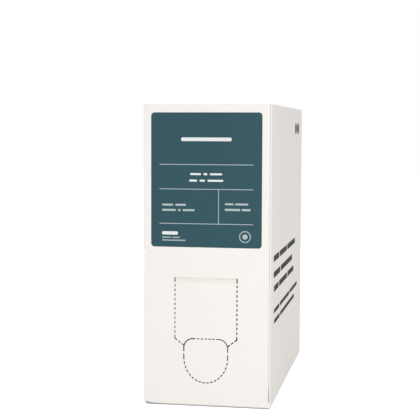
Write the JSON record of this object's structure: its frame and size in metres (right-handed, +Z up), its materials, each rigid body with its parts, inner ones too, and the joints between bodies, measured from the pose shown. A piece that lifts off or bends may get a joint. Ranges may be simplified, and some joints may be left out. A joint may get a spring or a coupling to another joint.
{
  "type": "hand soap refill pack",
  "caption": "Tall narrow sealed board carton for a bag-in-box soap refill, with a perforated tear-out tap door and a rounded label on its narrow front",
  "frame": {"origin": "centre of the underside of the carton with its label", "axes": "+Z up, -Y out of the narrow front with the label and door, +X to the right of the front"},
  "size_m": [0.086, 0.2005, 0.202],
  "materials": {
    "white_board": "matt white-lined fine-flute board",
    "label_paper": "matt teal printed paper"
  },
  "bodies": {
    "root": {"carton": "white_board", "front_label": "label_paper"}
  },
  "joints": []
}
